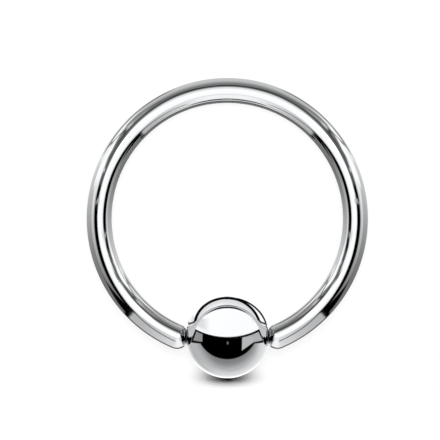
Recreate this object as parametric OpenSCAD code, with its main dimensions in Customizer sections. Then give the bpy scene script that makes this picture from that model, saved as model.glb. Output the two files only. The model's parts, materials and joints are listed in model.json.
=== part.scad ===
// Captive bead ring: a hoop of round wire with a gap, and a bead that the
// hoop's two ends hold between them by its two dimples. All sizes are in mm.
// The ring lies on its side, on the bead and on the far side of the wire.

/* [Hoop] */
// Diameter of the round wire
wire_d = 1.2; // [1.0:0.1:1.6]
// Diameter of the round space inside the hoop
inner_d = 11.1; // [9.6:0.1:16]

/* [Wire ends] */
// Length of the rounded stretch at each end, as a share of the wire's diameter
end_share = 0.39; // [0.38:0.01:0.45]
// Radius of the shallow dome that faces the bead, as a share of that diameter
dome_share = 1; // [0.9:0.05:1.3]
// Radius of the soft corner round the dome, as a share of that diameter
corner_share = 0.23; // [0.15:0.01:0.24]

/* [Bead] */
// Diameter of the bead
bead_d = 4; // [3:0.5:4.5]
// How far each wire end reaches inside the bead's round outline
seat_depth = 0.06; // [0.03:0.01:0.1]
// Clearance round a wire end in its dimple, so that the bead turns freely
seat_clearance = 0.04; // [0.02:0.01:0.06]

/* [Hidden] */

steel = [0.78, 0.79, 0.8];
wire_r = wire_d / 2;
bead_r = bead_d / 2;
hoop_r = (inner_d + wire_d) / 2;   // the wire's centre line
dome_r = dome_share * wire_d;
corner_r = corner_share * wire_d;

// The bead turns about an axis that runs along X through its centre. These
// places on the axis are measured from the bead's centre.
tip_x = bead_r - seat_depth;
bend_x = tip_x + end_share * wire_d;   // where the wire's centre line meets it
dome_x = tip_x + dome_r;               // centre of the dome and of the dimple

// The round wire stops at this angle from the bead, seen from the hoop's centre.
end_angle = asin(bend_x / hoop_r);
bead_reach = hoop_r * cos(end_angle);

// The soft corner is a circle that touches the dome and the round shoulder
// behind it from the inside. Its centre is given as the distance from the
// bead's axis and the distance along it, from bend_x and away from the bead.
bend_to_dome = dome_x - bend_x;
bend_to_corner = wire_r - corner_r;
dome_to_corner = dome_r - corner_r;
corner_along = (bend_to_corner ^ 2 + bend_to_dome ^ 2 - dome_to_corner ^ 2)
    / (2 * bend_to_dome);
corner_out = sqrt(bend_to_corner ^ 2 - corner_along ^ 2);
corner = [corner_out, corner_along];

// At rest the bead and the far side of the wire touch the surface.
tilt = asin((bead_r - wire_r) / (bead_reach + hoop_r));
lift = bead_r - bead_reach * sin(tilt);
front_y = -bead_reach * cos(tilt) - bead_r;
back_y = hoop_r * cos(tilt) + wire_r;

// The point at a distance and an angle, the angle measured from the Y axis
function polar(distance, angle) = distance * [sin(angle), cos(angle)];

// Lays a piece on its side as the whole ring lies, its box centred in X and Y
module lying() {
    translate([0, -(front_y + back_y) / 2, lift])
        rotate([-tilt, 0, 0])
            children();
}

// Half of a rounded end's outline. X is the distance from the bead's axis, and
// Y runs along that axis, from bend_x and away from the bead.
module end_outline() {
    far = 4 * wire_d;
    shoulder_angle = atan2(corner_out, corner_along);
    dome_angle = atan2(corner_out, corner_along - bend_to_dome);

    // shoulder, as round as the wire
    intersection() {
        circle(r = wire_r);
        polygon([[0, 0], polar(far, shoulder_angle), [far, far], [0, far]]);
    }
    // soft corner
    intersection() {
        translate(corner)
            circle(r = corner_r);
        polygon([
            corner,
            corner + polar(far, shoulder_angle),
            corner + [far, -far],
            corner + polar(far, dome_angle),
        ]);
    }
    // dome
    intersection() {
        translate([0, bend_to_dome])
            circle(r = dome_r);
        polygon([[0, 0], corner, corner + polar(far, dome_angle), [0, -far]]);
    }
}

// The rounded end of the wire on the +X side. The round wire comes from +Y,
// stops at Y = 0 and has its centre on the origin there.
module rounded_end() {
    block = 2 * wire_d;
    intersection() {
        rotate([0, 90, 90 - end_angle])
            rotate_extrude()
                end_outline();
        translate([-block / 2, -block, -block / 2])
            cube(block);
    }
}

// The half of the hoop on the +X side. The round wire runs from its rounded
// end to a little past the hoop's far side, and is trimmed there at X = 0.
module half_hoop() {
    overrun = 5;   // degrees
    block = 3 * hoop_r;
    intersection() {
        rotate([0, 0, end_angle - 90]) {
            rotate_extrude(angle = 180 - end_angle + overrun)
                translate([hoop_r, 0])
                    circle(r = wire_r);
            translate([hoop_r, 0, 0])
                rounded_end();
        }
        translate([0, -block / 2, -block / 2])
            cube(block);
    }
}

module ring() {
    color(steel)
        lying() {
            half_hoop();
            mirror([1, 0, 0])
                half_hoop();
        }
}

module bead() {
    color(steel)
        lying()
            translate([0, -bead_reach, 0])
                difference() {
                    sphere(r = bead_r);
                    for (side = [0, 1])
                        mirror([side, 0, 0])
                            translate([dome_x, 0, 0])
                                sphere(r = dome_r + seat_clearance);
                }
}

ring();
bead();
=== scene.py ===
"""Looks of the captive bead ring: a hoop of polished round wire whose two turned ends hold a polished ball.

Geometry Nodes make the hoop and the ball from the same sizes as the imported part, and each replaces its
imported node. The ring lies on its side on a pale floor. Every length is in metres.
"""

import json
import math
from collections import namedtuple

import bpy
from mathutils import Matrix, Vector

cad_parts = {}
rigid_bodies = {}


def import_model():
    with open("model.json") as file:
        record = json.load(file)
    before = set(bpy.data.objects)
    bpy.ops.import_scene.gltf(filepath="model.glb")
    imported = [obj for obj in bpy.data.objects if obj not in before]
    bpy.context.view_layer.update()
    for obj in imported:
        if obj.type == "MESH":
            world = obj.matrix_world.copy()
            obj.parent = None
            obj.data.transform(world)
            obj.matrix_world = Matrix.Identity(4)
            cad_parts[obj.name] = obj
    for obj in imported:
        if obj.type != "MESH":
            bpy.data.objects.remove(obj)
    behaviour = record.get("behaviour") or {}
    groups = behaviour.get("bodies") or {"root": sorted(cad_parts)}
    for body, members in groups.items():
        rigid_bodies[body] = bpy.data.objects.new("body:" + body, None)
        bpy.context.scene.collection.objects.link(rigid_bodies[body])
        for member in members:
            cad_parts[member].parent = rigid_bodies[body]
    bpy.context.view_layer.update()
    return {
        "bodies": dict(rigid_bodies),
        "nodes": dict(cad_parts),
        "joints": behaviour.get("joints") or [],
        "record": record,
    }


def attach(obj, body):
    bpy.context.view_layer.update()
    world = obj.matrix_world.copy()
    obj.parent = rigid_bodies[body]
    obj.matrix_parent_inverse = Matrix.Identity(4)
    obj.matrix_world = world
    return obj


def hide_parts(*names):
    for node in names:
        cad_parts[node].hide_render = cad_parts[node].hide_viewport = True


MM = 0.001

# Driving sizes of the ring
WIRE_D = 1.2 * MM
INNER_D = 11.1 * MM
END_LENGTH = 0.39 * WIRE_D      # the rounded stretch at each end of the wire
FACE_R = 1.0 * WIRE_D           # the shallow dome on that end
CORNER_R = 0.23 * WIRE_D        # the soft corner round the dome
BALL_D = 4.0 * MM
SEAT_DEPTH = 0.06 * MM          # how far a wire end reaches inside the ball's round outline
SEAT_CLEARANCE = 0.04 * MM
RIM_R = 0.03 * MM               # the polished edge of each dimple

# Sizes worked out from them
WIRE_R = WIRE_D / 2
BALL_R = BALL_D / 2
HOOP_R = (INNER_D + WIRE_D) / 2
TIP_X = BALL_R - SEAT_DEPTH
BEND_X = TIP_X + END_LENGTH
FACE_X = TIP_X + FACE_R
DIMPLE_R = FACE_R + SEAT_CLEARANCE
END_ANGLE = math.asin(BEND_X / HOOP_R)
BALL_REACH = HOOP_R * math.cos(END_ANGLE)

# How the ring lies: on the ball and on the far side of the wire
TILT = math.asin((BALL_R - WIRE_R) / (BALL_REACH + HOOP_R))
LIFT = BALL_R - BALL_REACH * math.sin(TILT)
FRONT_Y = -BALL_REACH * math.cos(TILT) - BALL_R
BACK_Y = HOOP_R * math.cos(TILT) + WIRE_R
HOOP_CENTRE = Vector((0, -(FRONT_Y + BACK_Y) / 2, LIFT))
LYING = Matrix.Translation(HOOP_CENTRE) @ Matrix.Rotation(-TILT, 4, "X")
BALL_CENTRE = LYING @ Vector((0, -BALL_REACH, 0))

# Mesh counts. Rows are faces along each part of a wire end's outline, and of half the ball's.
TURNS = 96                      # faces round the wire
ALONG = 640                     # faces along the wire
BALL_TURNS = 160                # faces round the ball's axis
BODY_ROWS, CORNER_ROWS, FACE_ROWS = 12, 10, 12
BALL_ROWS, RIM_ROWS, DIMPLE_ROWS = 72, 6, 8
WELD = 0.0002 * MM              # points closer than this become one

# Steel, with the fine lines and the haze that polishing leaves on it
STEEL = (0.76, 0.77, 0.78)
STEEL_GREY = 0.77
DULL_SHARE = 0.97               # how bright hazy steel is beside clear steel
LINE_NOISE = {"Detail": 4.0, "Roughness": 0.6}
LINE_RANGE = {"From Min": 0.35, "From Max": 0.75}
HAZE_NOISE = {"Detail": 3.0, "Roughness": 0.5}
HAZE_RANGE = {"From Min": 0.35, "From Max": 0.7}
HAZE_SCALE = 700.0
LEAST_ROUGHNESS = 0.03
LINE_ROUGHNESS = 0.03
HAZE_ROUGHNESS = 0.04

# How each piece was polished. Stretch is below one in the direction in which its marks are drawn out, line
# scale is about how many lines there are to a metre, and depth is how deep they are.
Finish = namedtuple("Finish", "stretch line_scale depth")
DRAWN_FINISH = Finish((0.05, 1, 1), 12000, 0.0001 * MM)
TUMBLED_FINISH = Finish((1, 1, 1), 9000, 0.00004 * MM)

# Camera
VIEW_DISTANCE = 150 * MM
VIEW_WIDTH = 21.12 * MM         # what the picture's width takes in at the hoop's plane
VIEW_SHIFT = Vector((-0.35 * MM, -0.07 * MM, 0))    # from over the hoop's middle
SENSOR = 36.0
CLIP_START = VIEW_DISTANCE / 20
CLIP_END = 20.0

# Lamps and floor
KEY_SIZE = (0.76, 0.14)
KEY_POWER = 2.45
FILL_SIZE = (0.12, 0.12)
FILL_POWER = 0.25
LAMP_ANGLE = math.radians(16)   # from straight above, towards the far side
LAMP_DISTANCE = 0.4
WORLD_LIGHT = 0.02
FLOOR_GREY = 0.92
FLOOR_SIZE = 4.0
FLOOR_ROUGHNESS = 0.9

# Flags are flat shapes over the floor that only the lamps see. Their shade is the soft shadow under the
# ball. Across and along are half a flag's sizes, place is how far its middle is from the ball's towards
# the far side, and flare is how strongly it narrows towards the far side.
Flag = namedtuple("Flag", "name across along place flare")
FLAGS = [
    Flag("near flag", 2.5 * MM, 1.3 * MM, -1.1 * MM, 3),
    Flag("long flag", 0.65 * MM, 1.1 * MM, -0.9 * MM, 0),
]
FLAG_CORNERS = 64
FLAG_HEIGHT = 1.0 * MM          # above the floor

# How far the domes reach from their middles, to the side and up. The near one is close to the hoop, so
# each part of the wire sees its cards from another side.
NEAR_DOME = (16 * MM, 38 * MM)
FAR_DOME = (100 * MM, 100 * MM)
BALL_DOME = (250 * MM, 250 * MM)
DOME_SEGMENTS, DOME_RINGS = 128, 64

DEGREES = math.degrees(1)       # in a radian
LEAST_HEIGHT = 1e-5             # these two keep divisions by nothing out of the domes' frames
LEAST_SQUARE = 1e-9
SECOND_MIRROR = 1.5             # the ray depth between one mirror met and two


class Number:
    """A number socket of a node tree. Arithmetic with it adds the nodes that work it out."""

    def __init__(self, net, socket):
        self.net = net
        self.socket = socket

    def __add__(self, other):
        return self.net.math("ADD", self, other)

    def __radd__(self, other):
        return self.net.math("ADD", other, self)

    def __sub__(self, other):
        return self.net.math("SUBTRACT", self, other)

    def __rsub__(self, other):
        return self.net.math("SUBTRACT", other, self)

    def __mul__(self, other):
        return self.net.math("MULTIPLY", self, other)

    def __rmul__(self, other):
        return self.net.math("MULTIPLY", other, self)

    def __truediv__(self, other):
        return self.net.math("DIVIDE", self, other)

    def __neg__(self):
        return self.net.math("MULTIPLY", self, -1.0)


class Net:
    """A node tree, with short ways to add a node and to join it to others."""

    def __init__(self, tree):
        self.tree = tree

    def feed(self, socket, value):
        if isinstance(value, Number):
            value = value.socket
        if isinstance(value, bpy.types.NodeSocket):
            self.tree.links.new(value, socket)
        else:
            socket.default_value = value

    def add(self, kind, values=(), **settings):
        node = self.tree.nodes.new(kind)
        for name, value in settings.items():
            setattr(node, name, value)
        for name, value in dict(values).items():
            self.feed(node.inputs[name], value)
        return node

    def number(self, socket):
        return Number(self, socket)

    def math(self, operation, *values):
        node = self.add("ShaderNodeMath", enumerate(values), operation=operation)
        return self.number(node.outputs[0])

    def clamp(self, value):
        node = self.add("ShaderNodeMath", {0: value, 1: 0.0}, operation="ADD", use_clamp=True)
        return self.number(node.outputs[0])

    def vector(self, x, y, z):
        return self.add("ShaderNodeCombineXYZ", {"X": x, "Y": y, "Z": z}).outputs[0]

    def split(self, vector):
        node = self.add("ShaderNodeSeparateXYZ", {0: vector})
        return [self.number(socket) for socket in node.outputs]

    def place(self, tree, values=()):
        """Adds a node group with its inputs given by name."""
        kind = "GeometryNodeGroup" if tree.bl_idname == "GeometryNodeTree" else "ShaderNodeGroup"
        node = self.tree.nodes.new(kind)
        node.node_tree = tree
        for name, value in dict(values).items():
            self.feed(node.inputs[name], value)
        return node


def new_group(kind, name, inputs, outputs):
    """A node group with named inputs and outputs, and the net, inputs and output node to fill it with."""
    tree = bpy.data.node_groups.new(name, kind)
    for label, socket, default in inputs:
        made = tree.interface.new_socket(label, in_out="INPUT", socket_type=socket)
        if default is not None:
            made.default_value = default
    for label, socket in outputs:
        tree.interface.new_socket(label, in_out="OUTPUT", socket_type=socket)
    net = Net(tree)
    given = net.add("NodeGroupInput").outputs
    return tree, net, given, net.add("NodeGroupOutput").inputs


FLOAT = "NodeSocketFloat"
VECTOR = "NodeSocketVector"
COLOUR = "NodeSocketColor"
WHOLE = "NodeSocketInt"
GEOMETRY = "NodeSocketGeometry"
MATERIAL = "NodeSocketMaterial"

# A Mix node's sockets for colours
MIX_FACTOR, MIX_A, MIX_B, MIX_RESULT = 0, 6, 7, 2


def new_object(name, data):
    """An object in the scene with this mesh, lamp or camera."""
    made = bpy.data.objects.new(name, data)
    bpy.context.scene.collection.objects.link(made)
    return made


def hide_from(thing, *rays):
    """Makes a thing unseen by these kinds of rays."""
    for ray in rays:
        setattr(thing, "visible_" + ray, False)


def make_camera():
    """Looks straight down on the hoop's plane, with the ball at the bottom of the picture."""
    data = bpy.data.cameras.new("view")
    camera = new_object("view", data)
    data.sensor_width = SENSOR
    data.lens = SENSOR * VIEW_DISTANCE / VIEW_WIDTH
    data.clip_start = CLIP_START
    data.clip_end = CLIP_END
    camera.matrix_world = LYING @ Matrix.Translation(VIEW_SHIFT + Vector((0, 0, VIEW_DISTANCE)))
    bpy.context.scene.camera = camera


# The three arcs of a turned piece's outline: a round body, a small corner and a face at the axis
ARCS = ("Body", "Corner", "Face")


def arc_inputs(arc):
    """What an arc's inputs are called."""
    return [f"{arc} {part}" for part in ("Rows", "Radius", "From", "To")]


def turned_outline():
    """Node group: a point on the outline of a turned piece.

    Each arc has a radius and goes from one angle to another, measured from the axis."""
    inputs = [("Row", FLOAT, 0.0)]
    for arc in ARCS:
        inputs += [(name, FLOAT, 0.0) for name in arc_inputs(arc)]
    tree, net, given, out = new_group(
        "GeometryNodeTree", "Turned outline", inputs, [("Along", FLOAT), ("Out", FLOAT)]
    )
    row = net.number(given["Row"])
    along = net.math("COSINE", given["Body From"]) * given["Body Radius"]
    away = net.math("SINE", given["Body From"]) * given["Body Radius"]
    for arc in ARCS:
        rows, radius, start, end = (net.number(given[name]) for name in arc_inputs(arc))
        angle = start + (end - start) * net.clamp(row / rows)
        along = along + radius * (net.math("COSINE", angle) - net.math("COSINE", start))
        away = away + radius * (net.math("SINE", angle) - net.math("SINE", start))
        row = row - rows
    net.feed(out["Along"], along)
    net.feed(out["Out"], away)
    return tree


def all_rows(net, given):
    """How many rows of faces the three arcs have together."""
    return net.number(given["Body Rows"]) + given["Corner Rows"] + given["Face Rows"]


def sheet(net, rows, turns):
    """A flat grid to be shaped, with each point's row and its turn as an angle."""
    node = net.add(
        "GeometryNodeMeshGrid",
        {"Size X": 1.0, "Size Y": 1.0, "Vertices X": rows + 1, "Vertices Y": turns + 1},
    )
    x, y, _ = net.split(net.add("GeometryNodeInputPosition").outputs[0])
    return node.outputs["Mesh"], (x + 0.5) * net.number(rows.socket), (y + 0.5) * math.tau


def shaped(net, mesh, place):
    """Puts each point of the mesh in its place."""
    return net.add("GeometryNodeSetPosition", {"Geometry": mesh, "Position": place}).outputs[0]


def flipped(net, mesh):
    """Turns every face to its other side."""
    return net.add("GeometryNodeFlipFaces", {"Mesh": mesh}).outputs[0]


def mirrored(net, mesh):
    """The same mesh on the other side of X = 0, with its faces the same way out."""
    turned = net.add("GeometryNodeTransform", {"Geometry": mesh, "Scale": (-1, 1, 1)}).outputs[0]
    return flipped(net, turned)


def finished(net, meshes, given, out):
    """Joins the meshes, closes their seams, lays the piece where it belongs and gives it its material."""
    joined = net.add("GeometryNodeJoinGeometry")
    for mesh in meshes:
        net.tree.links.new(mesh, joined.inputs[0])
    welded = net.add(
        "GeometryNodeMergeByDistance", {"Geometry": joined.outputs[0], "Distance": given["Weld"]}
    )
    laid = net.add(
        "GeometryNodeTransform",
        {"Geometry": welded.outputs[0], "Translation": given["Centre"], "Rotation": given["Tilt"]},
    )
    smooth = net.add("GeometryNodeSetShadeSmooth", {"Geometry": laid.outputs[0]})
    real = net.add("GeometryNodeRealizeInstances", {"Geometry": smooth.outputs[0]})
    dressed = net.add(
        "GeometryNodeSetMaterial", {"Geometry": real.outputs[0], "Material": given["Material"]}
    )
    net.feed(out["Geometry"], dressed.outputs[0])


# The inputs that lay a piece in its place and finish it
LAID_INPUTS = [
    ("Centre", VECTOR, None),
    ("Tilt", VECTOR, None),
    ("Weld", FLOAT, WELD),
    ("Material", MATERIAL, None),
]


def hoop_tree(outline):
    """Geometry Nodes: the bent wire, and a turned end on each side of the ball."""
    inputs = [
        ("Wire Radius", FLOAT, None),
        ("Hoop Radius", FLOAT, None),
        ("End Angle", FLOAT, None),
        ("Along", WHOLE, None),
        ("Turns", WHOLE, None),
        ("Body To", FLOAT, None),
        ("Corner Radius", FLOAT, None),
        ("Face Radius", FLOAT, None),
        ("Face From", FLOAT, None),
        ("Body Rows", WHOLE, None),
        ("Corner Rows", WHOLE, None),
        ("Face Rows", WHOLE, None),
    ] + LAID_INPUTS
    tree, net, given, out = new_group(
        "GeometryNodeTree", "Hoop of round wire", inputs, [("Geometry", GEOMETRY)]
    )
    wire_r, hoop_r, end_angle = (
        net.number(given[name]) for name in ("Wire Radius", "Hoop Radius", "End Angle")
    )
    along, turns = net.number(given["Along"]), net.number(given["Turns"])
    end_cos = net.math("COSINE", end_angle)
    end_sin = net.math("SINE", end_angle)

    # Bent wire, from one end round the far side to the other. The angle is measured from the ball.
    mesh, row, turn = sheet(net, along, turns)
    angle = end_angle + (math.tau - 2 * end_angle) * row / along
    reach = hoop_r + wire_r * net.math("COSINE", turn)
    place = net.vector(
        reach * net.math("SINE", angle),
        -(reach * net.math("COSINE", angle)),
        wire_r * net.math("SINE", turn),
    )
    drawn = net.vector(
        hoop_r * angle, wire_r * net.math("COSINE", turn), wire_r * net.math("SINE", turn)
    )
    wire = shaped(net, stored(net, mesh, drawn), place)

    # Turned end on the +X side. Its body starts at the end of the bend, on a cut not square to its axis.
    rows = all_rows(net, given)
    mesh, row, turn = sheet(net, rows, turns)
    turn_cos = net.math("COSINE", turn)
    turn_sin = net.math("SINE", turn)
    point = net.place(
        outline,
        {
            "Row": row,
            "Body Rows": given["Body Rows"],
            "Body Radius": wire_r,
            "Body From": net.math("ARCCOSINE", -(turn_cos * end_sin)),
            "Body To": given["Body To"],
            "Corner Rows": given["Corner Rows"],
            "Corner Radius": given["Corner Radius"],
            "Corner From": given["Body To"],
            "Corner To": given["Face From"],
            "Face Rows": given["Face Rows"],
            "Face Radius": given["Face Radius"],
            "Face From": given["Face From"],
            "Face To": 0.0,
        },
    ).outputs
    side_y = -(turn_cos * end_cos)
    side = net.math("SQRT", side_y * side_y + turn_sin * turn_sin)
    x = -net.number(point["Along"])
    y = net.number(point["Out"]) * side_y / side
    z = net.number(point["Out"]) * turn_sin / side
    place = net.vector(hoop_r * end_sin + x, y - hoop_r * end_cos, z)
    drawn = net.vector(
        hoop_r * end_angle + x * end_cos + y * end_sin, x * end_sin - y * end_cos, z
    )
    end = shaped(net, stored(net, mesh, drawn), place)
    other = stored(net, mirrored(net, end), straight_back(net, hoop_r))
    finished(net, [wire, flipped(net, end), flipped(net, other)], given, out)
    return tree


def stored(net, mesh, value):
    """Keeps where each point was on the straight wire, before it was bent."""
    node = net.add(
        "GeometryNodeStoreNamedAttribute",
        {"Geometry": mesh, "Name": "drawn", "Value": value},
        data_type="FLOAT_VECTOR",
        domain="POINT",
    )
    return node.outputs[0]


def straight_back(net, hoop_r):
    """Where the other end's points are on the straight wire, counted back from its far end."""
    node = net.add("GeometryNodeInputNamedAttribute", {"Name": "drawn"}, data_type="FLOAT_VECTOR")
    x, y, z = net.split(node.outputs[0])
    return net.vector(hoop_r * math.tau - x, y, z)


def ball_tree(outline):
    """Geometry Nodes: the ball with a dimple on each side, turned about its axis."""
    names = [name for arc in ARCS for name in arc_inputs(arc)]
    inputs = [(name, WHOLE if name.endswith("Rows") else FLOAT, None) for name in names]
    inputs += [("Turns", WHOLE, None)] + LAID_INPUTS
    tree, net, given, out = new_group(
        "GeometryNodeTree", "Dimpled ball", inputs, [("Geometry", GEOMETRY)]
    )
    rows = all_rows(net, given)
    mesh, row, turn = sheet(net, rows, net.number(given["Turns"]))
    point = net.place(outline, {"Row": row, **{name: given[name] for name in names}}).outputs
    away = net.number(point["Out"])
    place = net.vector(point["Along"], away * net.math("COSINE", turn), away * net.math("SINE", turn))
    half = flipped(net, shaped(net, mesh, place))
    finished(net, [half, mirrored(net, half)], given, out)
    return tree


def grow(name, tree, values):
    """Runs a Geometry Nodes tree and keeps its result as a plain mesh."""
    seedling = new_object(name + " tree", bpy.data.meshes.new(name + " tree"))
    modifier = seedling.modifiers.new(name, "NODES")
    modifier.node_group = tree
    sockets = {item.name: item.identifier for item in tree.interface.items_tree if item.in_out == "INPUT"}
    for label, value in values.items():
        modifier[sockets[label]] = value
    seedling.update_tag()
    depsgraph = bpy.context.evaluated_depsgraph_get()
    mesh = bpy.data.meshes.new_from_object(
        seedling.evaluated_get(depsgraph), preserve_all_data_layers=True, depsgraph=depsgraph
    )
    seedling.modifiers.remove(modifier)
    bpy.data.objects.remove(seedling)
    mesh.name = name
    return new_object(name, mesh)


def make_hoop(outline, material):
    """The hoop. Each end's soft corner touches its round body and its dome, which gives its middle."""
    bend_to_face = FACE_X - BEND_X
    bend_to_corner = WIRE_R - CORNER_R
    face_to_corner = FACE_R - CORNER_R
    corner_along = (bend_to_corner ** 2 + bend_to_face ** 2 - face_to_corner ** 2) / (2 * bend_to_face)
    corner_out = math.sqrt(bend_to_corner ** 2 - corner_along ** 2)
    values = {
        "Wire Radius": WIRE_R,
        "Hoop Radius": HOOP_R,
        "End Angle": END_ANGLE,
        "Along": ALONG,
        "Turns": TURNS,
        "Body To": math.atan2(corner_out, -corner_along),
        "Corner Radius": CORNER_R,
        "Face Radius": FACE_R,
        "Face From": math.atan2(corner_out, bend_to_face - corner_along),
        "Body Rows": BODY_ROWS,
        "Corner Rows": CORNER_ROWS,
        "Face Rows": FACE_ROWS,
        "Centre": HOOP_CENTRE,
        "Tilt": (-TILT, 0, 0),
        "Weld": WELD,
        "Material": material,
    }
    return grow("hoop", hoop_tree(outline), values)


def make_ball(outline, material):
    """The ball. Each dimple's rim touches the round outside and the dimple, which gives its middle."""
    ball_to_rim = BALL_R - RIM_R
    face_to_rim = DIMPLE_R + RIM_R
    rim_along = (ball_to_rim ** 2 + FACE_X ** 2 - face_to_rim ** 2) / (2 * FACE_X)
    rim_out = math.sqrt(ball_to_rim ** 2 - rim_along ** 2)
    rim_start = math.atan2(rim_out, rim_along)
    rim_end = -math.atan2(rim_out, FACE_X - rim_along)
    values = {
        "Body Rows": BALL_ROWS,
        "Body Radius": BALL_R,
        "Body From": math.pi / 2,
        "Body To": rim_start,
        "Corner Rows": RIM_ROWS,
        "Corner Radius": RIM_R,
        "Corner From": rim_start,
        "Corner To": rim_end,
        "Face Rows": DIMPLE_ROWS,
        "Face Radius": DIMPLE_R,
        "Face From": math.pi + rim_end,
        "Face To": math.pi,
        "Turns": BALL_TURNS,
        "Centre": BALL_CENTRE,
        "Tilt": (-TILT, 0, 0),
        "Weld": WELD,
        "Material": material,
    }
    return grow("ball", ball_tree(outline), values)


def polishing_marks():
    """Shader node group: the faint lines and haze that polishing leaves on steel."""
    inputs = [
        ("Vector", VECTOR, None),
        ("Line Scale", FLOAT, None),
        ("Haze Scale", FLOAT, HAZE_SCALE),
        ("Least Roughness", FLOAT, LEAST_ROUGHNESS),
        ("Line Roughness", FLOAT, LINE_ROUGHNESS),
        ("Haze Roughness", FLOAT, HAZE_ROUGHNESS),
        ("Pale", COLOUR, None),
        ("Dull", COLOUR, None),
    ]
    outputs = [("Color", COLOUR), ("Roughness", FLOAT), ("Height", FLOAT)]
    tree, net, given, out = new_group("ShaderNodeTree", "Polishing marks", inputs, outputs)
    lines = net.add(
        "ShaderNodeTexNoise", {"Vector": given["Vector"], "Scale": given["Line Scale"], **LINE_NOISE}
    ).outputs[0]
    haze = net.add(
        "ShaderNodeTexNoise", {"Vector": given["Vector"], "Scale": given["Haze Scale"], **HAZE_NOISE}
    ).outputs[0]
    line_mask = net.add("ShaderNodeMapRange", {"Value": lines, **LINE_RANGE}).outputs[0]
    haze_mask = net.add("ShaderNodeMapRange", {"Value": haze, **HAZE_RANGE}).outputs[0]
    roughness = (
        net.number(given["Least Roughness"])
        + net.number(line_mask) * given["Line Roughness"]
        + net.number(haze_mask) * given["Haze Roughness"]
    )
    colours = {MIX_FACTOR: haze_mask, MIX_A: given["Pale"], MIX_B: given["Dull"]}
    colour = net.add("ShaderNodeMix", colours, data_type="RGBA")
    net.feed(out["Color"], colour.outputs[MIX_RESULT])
    net.feed(out["Roughness"], roughness)
    net.feed(out["Height"], lines)
    return tree


def steel_material(name, marks, coordinates, finish):
    """Mirror-polished steel with the marks of this finish."""
    material = bpy.data.materials.new(name)
    material.use_nodes = True
    net = Net(material.node_tree)
    shader = material.node_tree.nodes["Principled BSDF"]
    shader.inputs["Metallic"].default_value = 1.0
    vector = coordinates(net)
    placed = net.add("ShaderNodeMapping", {"Vector": vector, "Scale": finish.stretch}).outputs[0]
    pale = (*STEEL, 1.0)
    dull = (*(value * DULL_SHARE for value in STEEL), 1.0)
    values = {"Vector": placed, "Line Scale": finish.line_scale, "Pale": pale, "Dull": dull}
    look = net.place(marks, values).outputs
    bump = net.add(
        "ShaderNodeBump", {"Height": look["Height"], "Strength": 1.0, "Distance": finish.depth}
    ).outputs[0]
    net.feed(shader.inputs["Base Color"], look["Color"])
    net.feed(shader.inputs["Roughness"], look["Roughness"])
    net.feed(shader.inputs["Normal"], bump)
    return material


def drawn_coordinates(net):
    """Where a point of the hoop was on the straight wire."""
    return net.add("ShaderNodeAttribute", attribute_name="drawn").outputs["Vector"]


def object_coordinates(net):
    """Where a point of the ball is."""
    return net.add("ShaderNodeTexCoord").outputs["Object"]


# Studio. The polished steel shows little but what hangs round it, so each piece has domes of its own with
# the studio's lit and dark cards on them. A card is a polygon in one of its dome's frames, with its corners
# in order round it. Soft is how wide its edges fade, across and up, and grey is how bright the steel shows
# it: 0 is black and 1 is white. Each card lies over those before it. The light of the hoop's two domes adds
# up, so each is black where the other one is to show.
Card = namedtuple("Card", "name frame corners soft grey")


def box(left, right, low, high):
    """The corners of a card with level and upright sides."""
    return ((left, low), (right, low), (right, high), (left, high))


def stroke(name, frame, points, thickness, soft, grey):
    """A line of cards from point to point. Thickness is how far across and up they reach from there."""
    across, up = thickness
    cards = []
    for (x0, y0), (x1, y1) in zip(points, points[1:]):
        corners = ((x0, y0), (x1, y1), (x1 + across, y1 + up), (x0 + across, y0 + up))
        cards.append(Card(name, frame, corners, soft, grey))
    return cards


FAR = 1000.0                    # well past the edge of any frame
BACKGROUND_GREY = 0.45          # of a dome behind its cards

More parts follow.
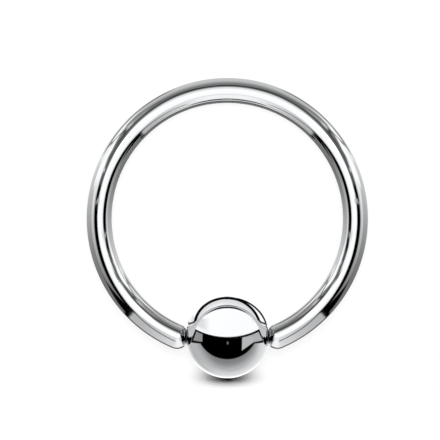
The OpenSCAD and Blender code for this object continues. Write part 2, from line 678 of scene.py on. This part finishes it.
# Round the hoop. In the polar frame a point is degrees round from the ball, alike on both sides, and
# degrees down from straight above. In the flat frame it is on a sheet one unit above the hoop and parallel
# to it.
NEAR_CARDS = [
    Card("side wall", "polar", box(94, FAR, 50, FAR), (66, 16), 0.84),
    Card("foot of the side wall", "polar", box(82, 104, 64, 78), (66, 6), 0.86),
    Card("near wall", "polar", box(-FAR, 46, 28, 113), (3, 8), 0.72),
    Card("near wall, middle", "polar", box(-FAR, 24, 28, 113), (36, 8), 0.96),
    Card("near floor", "polar", box(-FAR, 46, 113, 134), (3, 8), 0.34),
    Card("window", "polar", ((103, 61), (121, 57), (124, 92), (104, 92)), (6, 8), 1.0),
    Card("window, pointed end", "polar", ((93, 71), (106, 62), (106, 84)), (6, 6), 0.92),
    Card("dark post", "polar", ((45, 44), (49.5, 44), (47, 126), (44.8, 126)), (1.5, 6), 0.0),
    Card("dark corner", "polar", ((45.5, 52), (50.5, 58), (64, 84), (46, 84)), (2, 6), 0.0),
    Card("dark corner, lower part", "polar", ((45.5, 80), (64, 83), (50, 98), (45.5, 98)), (2, 6), 0.0),
    Card("side flag", "polar", ((43, 43), (52, 33), (52, 59), (46, 58)), (2, 4), 0.0),
    Card("side flag", "polar", ((51, 33), (76, 22), (76, 59), (51, 59)), (2, 4), 0.0),
    Card("side flag", "polar", ((75, 22), (96.5, 20), (96.5, 57), (75, 59)), (1.2, 4), 0.0),
    Card("side flag", "polar", ((99, 20), (106, 22), (106, 54), (97, 57)), (1.2, 4), 0.0),
    Card("gap above the flag", "polar", ((97, 20), (103, 20), (102, 30), (98, 31)), (1.5, 4), 0.74),
    Card("grey flag", "polar", ((105, 22), (138, 30), (134, 54), (105, 55)), (3, 7), 0.34),
    Card("gap in the flag", "polar", ((110.5, 44), (112, 44), (113.5, 62), (111.5, 62)), (1.5, 6), 0.80),
    *stroke("edge of the near wall", "polar", ((20, 57), (36, 52), (46, 43)), (0, 6), (3, 5), 0.0),
    Card("rim of the soft box", "flat", ((-1, -0.56), (0.61, -0.56), (0.45, 0.4), (-1, 0.4)),
         (0.05, 0.08), 0.84),
    Card("soft box", "flat", ((-1, -0.44), (0.42, -0.44), (0.36, 0.5), (-1, 0.5)), (0.22, 0.26), 0.995),
    Card("notch", "polar", ((96.8, 8), (99, 8), (98.6, 44), (97.4, 44)), (1.2, 5), 0.72),
    Card("open side", "polar", box(115, FAR, 8, FAR), (6, 3), 0.0),
    Card("soft box, far end", "polar", ((119, 6), (146, 6), (141, 26), (121, 28)), (5, 5), 0.86),
]
# Further away, on the hoop's far side
FAR_CARDS = [
    Card("far wall", "polar", box(-FAR, FAR, 84, FAR), (1, 50), 0.76),
    Card("window", "polar", ((90, 56), (121, 56), (131, 84), (90, 84)), (3, 8), 1.0),
    Card("window, lower part", "polar", ((90, 80), (130, 80), (150, 135), (90, 135)), (3, 8), 0.96),
    Card("light part of the far wall", "polar", ((128, 50), (142, 50), (146, 72), (130, 72)), (5, 6), 0.58),
    *stroke("far ledge", "polar", ((118, 111), (132, 114), (156, 122)), (0, 17), (7, 6), 0.28),
    *stroke("far frame", "polar", ((121, 108), (123, 92), (128, 77), (130, 65), (128.5, 50), (126, 38)),
            (2.2, 0), (1.5, 6), 0.22),
    Card("light streak", "polar", ((132, 52), (135, 52), (135.5, 70), (132.5, 70)), (3, 10), 0.78),
    *stroke("far arch", "polar", ((124, 41), (140, 41), (150, 42), (160, 43), (FAR, 44)),
            (0, 8), (4, 5), 0.0),
    *stroke("far beam", "polar", ((133, 88), (140, 78), (150, 61), (160, 53), (172, 47)),
            (0, 5), (3, 6), 0.28),
    Card("grey flag", "polar", ((90, 16), (132, 20), (130, 44), (90, 44)), (3, 6), 0.34),
    Card("rim of the soft box", "polar", box(-FAR, FAR, -FAR, 19), (8, 7), 0.80),
    Card("rim of the soft box", "polar", ((124, -FAR), (FAR, -FAR), (FAR, 33), (156, 33), (124, 21)),
         (8, 8), 0.88),
    Card("soft box", "polar", box(-FAR, FAR, -FAR, 17.5), (8, 13), 0.995),
    Card("open side", "polar", box(-FAR, 115, -FAR, FAR), (6, 3), 0.0),
]

# Round the ball, by where the ball's picture shows each direction. The face frame is zero at the picture's
# middle and one at its rim. The others are degrees round from the top and distance from their own middle.
BALL_CARDS = [
    Card("floor glow", "round", box(-FAR, FAR, 0.40, FAR), (1, 0.01), 0.50),
    Card("floor glow, outer part", "round", box(-FAR, FAR, 0.78, FAR), (1, 0.42), 0.88),
    Card("floor glow, left", "face", ((-2, -0.1), (-0.76, -0.1), (-0.30, -0.9), (-2, -0.9)),
         (0.4, 0.4), 0.70),
    Card("faint arc", "round", box(-FAR, -158, 0.755, 0.775), (30, 0.03), 0.66),
    Card("faint arc", "round", box(152, FAR, 0.80, 0.82), (30, 0.03), 0.70),
    Card("faint arc", "round", box(-FAR, -140, 0.86, 0.875), (30, 0.03), 0.80),
    Card("floor glow, right", "face", ((0.78, -0.1), (2, -0.1), (2, -0.8), (0.76, -0.8)), (0.3, 0.3), 0.87),
    Card("pale rim", "round", box(-FAR, FAR, 0.95, FAR), (1, 0.10), 0.91),
    Card("bright rim", "round", box(140, FAR, 0.967, FAR), (30, 0.03), 1.05),
    Card("bright rim", "round", box(-FAR, -140, 0.967, FAR), (30, 0.03), 1.05),
    Card("dark window", "disc", box(-FAR, FAR, -FAR, 0.745), (1, 0.03), 0.0),
    Card("dark sill", "face",
         ((-0.66, 0.4), (-0.94, -0.04), (-0.98, -0.165), (0.98, -0.165), (0.94, -0.04), (0.66, 0.4)),
         (0.02, 0.02), 0.0),
    Card("left block", "face", ((-0.65, 0.4), (-0.587, 0.4), (-0.595, -0.120), (-0.81, -0.104)),
         (0.02, 0.02), 0.56),
    Card("right block", "face",
         ((0.357, 0.4), (0.61, 0.4), (0.84, -0.104), (0.62, -0.132), (0.357, -0.132)),
         (0.02, 0.02), 0.69),
    Card("right block, low end", "face", ((0.357, 0), (0.62, 0), (0.62, -0.132), (0.343, -0.32)),
         (0.02, 0.02), 0.72),
    Card("spark", "face", box(-0.006, 0.022, -0.165, -0.11), (0.03, 0.03), 0.50),
    Card("edge of the soft box", "bowl", box(-FAR, -154.5, -FAR, 1.872), (1, 0.012), 0.0),
    Card("edge of the soft box", "bowl", box(154.5, FAR, -FAR, 1.882), (1, 0.012), 0.0),
    Card("soft box", "bowl", box(-FAR, FAR, -FAR, 1.829), (1, 0.012), 1.0),
    Card("left end of the soft box", "face", ((-0.9, 0.31), (-0.5, 0.15), (-0.5, 0.42), (-0.9, 0.46)),
         (0.25, 0.1), 0.87),
    Card("hanging cable", "cable", box(-50, 50, 0.884, 0.926), (20, 0.014), 0.0),
    Card("shade under the arch", "arch", box(-90, 5, 0.53, 0.65), (20, 0.10), 0.88),
    Card("shade under the arch", "right arch", box(-5, 66, 0.67, 0.80), (20, 0.10), 0.88),
    Card("arch", "arch", box(-92, 3, 0.617, 0.676), (2, 0.014), 0.0),
    Card("arch", "right arch", box(-3, 82, 0.774, 0.838), (2, 0.014), 0.0),
    Card("second arch", "rim", box(10, 80, 0.902, 0.942), (4, 0.014), 0.0),
    *stroke("foot of the arch", "face", ((-1.0, 0.18), (-0.93, 0.23), (-0.80, 0.312)),
            (0, 0.045), (0.02, 0.02), 0.2),
    *stroke("foot of the arch", "face", ((0.80, 0.312), (0.93, 0.23), (1.0, 0.18)),
            (0, 0.045), (0.02, 0.02), 0.2),
]
# What the ball shows where it is seen in the hoop
BALL_ECHOES = [
    Card("dim upper part", "face", box(-FAR, FAR, 0.1, 0.8), (1, 0.2), 0.38),
    Card("dark middle", "face", box(-FAR, FAR, -0.45, 0.12), (1, 0.10), 0.0),
]
# What the hoop shows where it is seen in the ball or in itself
HOOP_ECHOES = [
    Card("pale room", "polar", box(-FAR, FAR, -FAR, 135), (1, 16), 0.87),
    Card("dark near side", "polar", box(-FAR, 64, 20, 96), (10, 8), 0.0),
]
# The far dome adds nothing there
NO_ECHOES = [
    Card("dark room", "polar", box(-FAR, FAR, -FAR, FAR), (1, 1), 0.0),
]
# Middles of the round frames, and how much wider than high a circle of the frame is
BALL_FRAMES = {
    "round": (0, 0, 1),
    "disc": (0, 0.216, 1),
    "bowl": (0, 1.836, 1),
    "cable": (0, -0.20, 1),
    "arch": (0, 0.28, 1.207),
    "right arch": (0, 0.118, 1),
    "rim": (0.06, 0, 1),
}
CARD_SIDES = 6                  # the most that a card has


def card_group():
    """Shader node group: one soft-edged card over what is behind it.

    Each side is a plane whose height over the card grows by one across the soft edge. A side that the card
    doesn't have is far below, so it cuts nothing off."""
    sides = [f"Side {number + 1}" for number in range(CARD_SIDES)]
    inputs = [("Across", FLOAT, 0.0), ("Up", FLOAT, 0.0)]
    inputs += [(side, VECTOR, (0, 0, FAR)) for side in sides]
    inputs += [("Light", FLOAT, 0.0), ("Behind", FLOAT, 0.0)]
    tree, net, given, out = new_group("ShaderNodeTree", "Studio card", inputs, [("Light", FLOAT)])
    point = net.vector(given["Across"], given["Up"], 1.0)
    inside = 1.0
    for side in sides:
        product = net.add("ShaderNodeVectorMath", {0: point, 1: given[side]}, operation="DOT_PRODUCT")
        inside = net.math("MINIMUM", inside, net.number(product.outputs["Value"]) + 0.5)
    inside = net.clamp(inside)

    # The edge eases in and out
    cover = inside * inside * (3.0 - 2.0 * inside)
    behind = net.number(given["Behind"])
    net.feed(out["Light"], behind + cover * (net.number(given["Light"]) - behind))
    return tree


def card_sides(card):
    """The planes of a card's sides, as factors of across, up and one."""
    corners = [(x / card.soft[0], y / card.soft[1]) for x, y in card.corners]
    pairs = list(zip(corners, corners[1:] + corners[:1]))
    turn = math.copysign(1, sum(x0 * y1 - x1 * y0 for (x0, y0), (x1, y1) in pairs))
    planes = {}
    for number, ((x0, y0), (x1, y1)) in enumerate(pairs):
        length = turn * math.hypot(x1 - x0, y1 - y0)
        across = (y0 - y1) / length
        up = (x1 - x0) / length
        plane = (across / card.soft[0], up / card.soft[1], -(across * x0 + up * y0))
        planes[f"Side {number + 1}"] = plane
    return planes


def lit(grey):
    """The light that polished steel shows as this grey of the picture, by the sRGB curve."""
    linear = grey / 12.92 if grey <= 0.04045 else ((grey + 0.055) / 1.055) ** 2.4
    return linear / STEEL_GREY


def hoop_frames(net):
    """The frames for the cards round the hoop. Both sides of the studio are alike."""
    x, y, z = net.split(net.add("ShaderNodeTexCoord").outputs["Object"])
    side = net.math("ABSOLUTE", x)
    round_from_ball = net.math("ARCTAN2", side, -y) * DEGREES
    radius = net.math("SQRT", x * x + y * y)
    down = net.math("ARCTAN2", radius, z) * DEGREES
    height = net.math("MAXIMUM", z, LEAST_HEIGHT)
    return {"polar": (round_from_ball, down), "flat": (side / height, y / height)}


def ball_frames(net):
    """The frames for the ball's cards, as the ball shows them when it is seen along the dome's Z axis."""
    direction = net.add(
        "ShaderNodeVectorMath", {0: net.add("ShaderNodeTexCoord").outputs["Object"]}, operation="NORMALIZE"
    ).outputs[0]
    x, y, z = net.split(direction)
    length = net.math("SQRT", net.math("MAXIMUM", 2.0 + 2.0 * z, LEAST_SQUARE))
    across, up = x / length, y / length
    frames = {"face": (across, up)}
    for name, (middle_across, middle_up, width) in BALL_FRAMES.items():
        dx = (across - middle_across) * (1 / width)
        dy = up - middle_up
        angle = net.math("ARCTAN2", dx, dy) * DEGREES
        frames[name] = (angle, net.math("SQRT", dx * dx + dy * dy))
    return frames


def dome_material(name, card_tree, make_frames, cards, echoes):
    """Adds the cards' light to what is behind the dome, and is otherwise clear.

    The echoes are cards that show only where one piece is seen in the other."""
    material = bpy.data.materials.new(name)
    material.use_nodes = True
    material.cycles.emission_sampling = "NONE"
    material.node_tree.nodes.clear()
    net = Net(material.node_tree)
    frames = make_frames(net)

    def hang(cards, light):
        for card in cards:
            across, up = frames[card.frame]
            values = {"Across": across, "Up": up, **card_sides(card)}
            values.update({"Light": lit(card.grey), "Behind": light})
            light = net.number(net.place(card_tree, values).outputs[0])
        return light

    light = hang(cards, lit(BACKGROUND_GREY))
    depth = net.add("ShaderNodeLightPath").outputs["Ray Depth"]
    in_the_other = net.math("GREATER_THAN", depth, SECOND_MIRROR)
    light = light + in_the_other * (hang(echoes, light) - light)
    glow = net.add("ShaderNodeEmission", {"Strength": light}).outputs[0]
    clear = net.add("ShaderNodeBsdfTransparent").outputs[0]
    both = net.add("ShaderNodeAddShader", {0: glow, 1: clear}).outputs[0]
    net.add("ShaderNodeOutputMaterial", {"Surface": both})
    return material


def make_dome(name, centre, size, material, piece):
    """A dome that only the polished surface of one piece reflects. Its Z axis is square to the hoop."""
    bpy.ops.mesh.primitive_uv_sphere_add(segments=DOME_SEGMENTS, ring_count=DOME_RINGS, radius=1)
    dome = bpy.context.object
    dome.name = name
    radius, height = size
    dome.data.transform(Matrix.Diagonal((radius, radius, height, 1)))
    dome.matrix_world = Matrix.Translation(centre) @ Matrix.Rotation(-TILT, 4, "X")
    dome.data.polygons.foreach_set("use_smooth", [True] * len(dome.data.polygons))
    dome.data.materials.append(material)
    hide_from(dome, "camera", "diffuse", "shadow", "transmission", "volume_scatter")
    shown_to = bpy.data.collections.new(name + " is seen by")
    shown_to.objects.link(piece)
    dome.light_linking.receiver_collection = shown_to


def make_floor():
    material = bpy.data.materials.new("pale floor")
    material.use_nodes = True
    shader = material.node_tree.nodes["Principled BSDF"]
    shader.inputs["Base Color"].default_value = (FLOOR_GREY, FLOOR_GREY, FLOOR_GREY, 1)
    shader.inputs["Roughness"].default_value = FLOOR_ROUGHNESS
    shader.inputs["Specular IOR Level"].default_value = 0.0
    bpy.ops.mesh.primitive_plane_add(size=FLOOR_SIZE)
    floor = bpy.context.object
    floor.name = "floor"
    floor.data.materials.append(material)
    hide_from(floor, "glossy")


def make_world():
    """A faint light all round for the floor, and black in the steel, which has its own domes."""
    world = bpy.data.worlds.new("studio")
    bpy.context.scene.world = world
    world.use_nodes = True
    net = Net(world.node_tree)
    shiny = net.number(net.add("ShaderNodeLightPath").outputs["Is Glossy Ray"])
    net.feed(world.node_tree.nodes["Background"].inputs["Strength"], (1.0 - shiny) * WORLD_LIGHT)


def make_flag(shape):
    """A flag beside the near half of the ball. Nothing but the lamps sees it."""
    corners = []
    for number in range(FLAG_CORNERS):
        angle = math.tau * number / FLAG_CORNERS
        along = math.sin(angle)
        across = math.cos(angle) * ((1 - along) / 2) ** shape.flare
        corners.append((across * shape.across, along * shape.along, 0))
    mesh = bpy.data.meshes.new(shape.name)
    mesh.from_pydata(corners, [], [range(FLAG_CORNERS)])
    flag = new_object(shape.name, mesh)
    flag.location = (BALL_CENTRE.x, BALL_CENTRE.y + shape.place, FLAG_HEIGHT)
    hide_from(flag, "camera", "diffuse", "glossy", "transmission", "volume_scatter")
    return flag


def make_lamp(name, size, power, blockers):
    """A soft lamp over the ball, tipped towards the far side. Only the blockers shade it."""
    data = bpy.data.lights.new(name, "AREA")
    data.shape = "RECTANGLE"
    data.size, data.size_y = size
    data.energy = power
    lamp = new_object(name, data)
    turn = Matrix.Rotation(-LAMP_ANGLE, 4, "X")
    lamp.matrix_world = Matrix.Translation(BALL_CENTRE) @ turn @ Matrix.Translation((0, 0, LAMP_DISTANCE))
    hide_from(lamp, "glossy")
    shaded_by = bpy.data.collections.new(name + " is shaded by")
    for piece in blockers:
        shaded_by.objects.link(piece)
    lamp.light_linking.blocker_collection = shaded_by


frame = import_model()
make_camera()
bpy.context.scene.view_settings.view_transform = "Standard"
bpy.context.scene.cycles.caustics_reflective = False

marks = polishing_marks()
outline = turned_outline()
wire_steel = steel_material("wire steel", marks, drawn_coordinates, DRAWN_FINISH)
bead_steel = steel_material("bead steel", marks, object_coordinates, TUMBLED_FINISH)

hoop = make_hoop(outline, wire_steel)
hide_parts("ring")
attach(hoop, "ring")

ball = make_ball(outline, bead_steel)
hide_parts("bead")
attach(ball, "bead")

cards = card_group()
near_studio = dome_material("near studio", cards, hoop_frames, NEAR_CARDS, HOOP_ECHOES)
far_studio = dome_material("far studio", cards, hoop_frames, FAR_CARDS, NO_ECHOES)
ball_studio = dome_material("ball studio", cards, ball_frames, BALL_CARDS, BALL_ECHOES)
make_dome("near dome", HOOP_CENTRE, NEAR_DOME, near_studio, hoop)
make_dome("far dome", HOOP_CENTRE, FAR_DOME, far_studio, hoop)
make_dome("ball dome", BALL_CENTRE, BALL_DOME, ball_studio, ball)
make_floor()
make_world()
flags = [make_flag(shape) for shape in FLAGS]
make_lamp("key", KEY_SIZE, KEY_POWER, flags)
make_lamp("fill", FILL_SIZE, FILL_POWER, [ball, hoop, *flags])
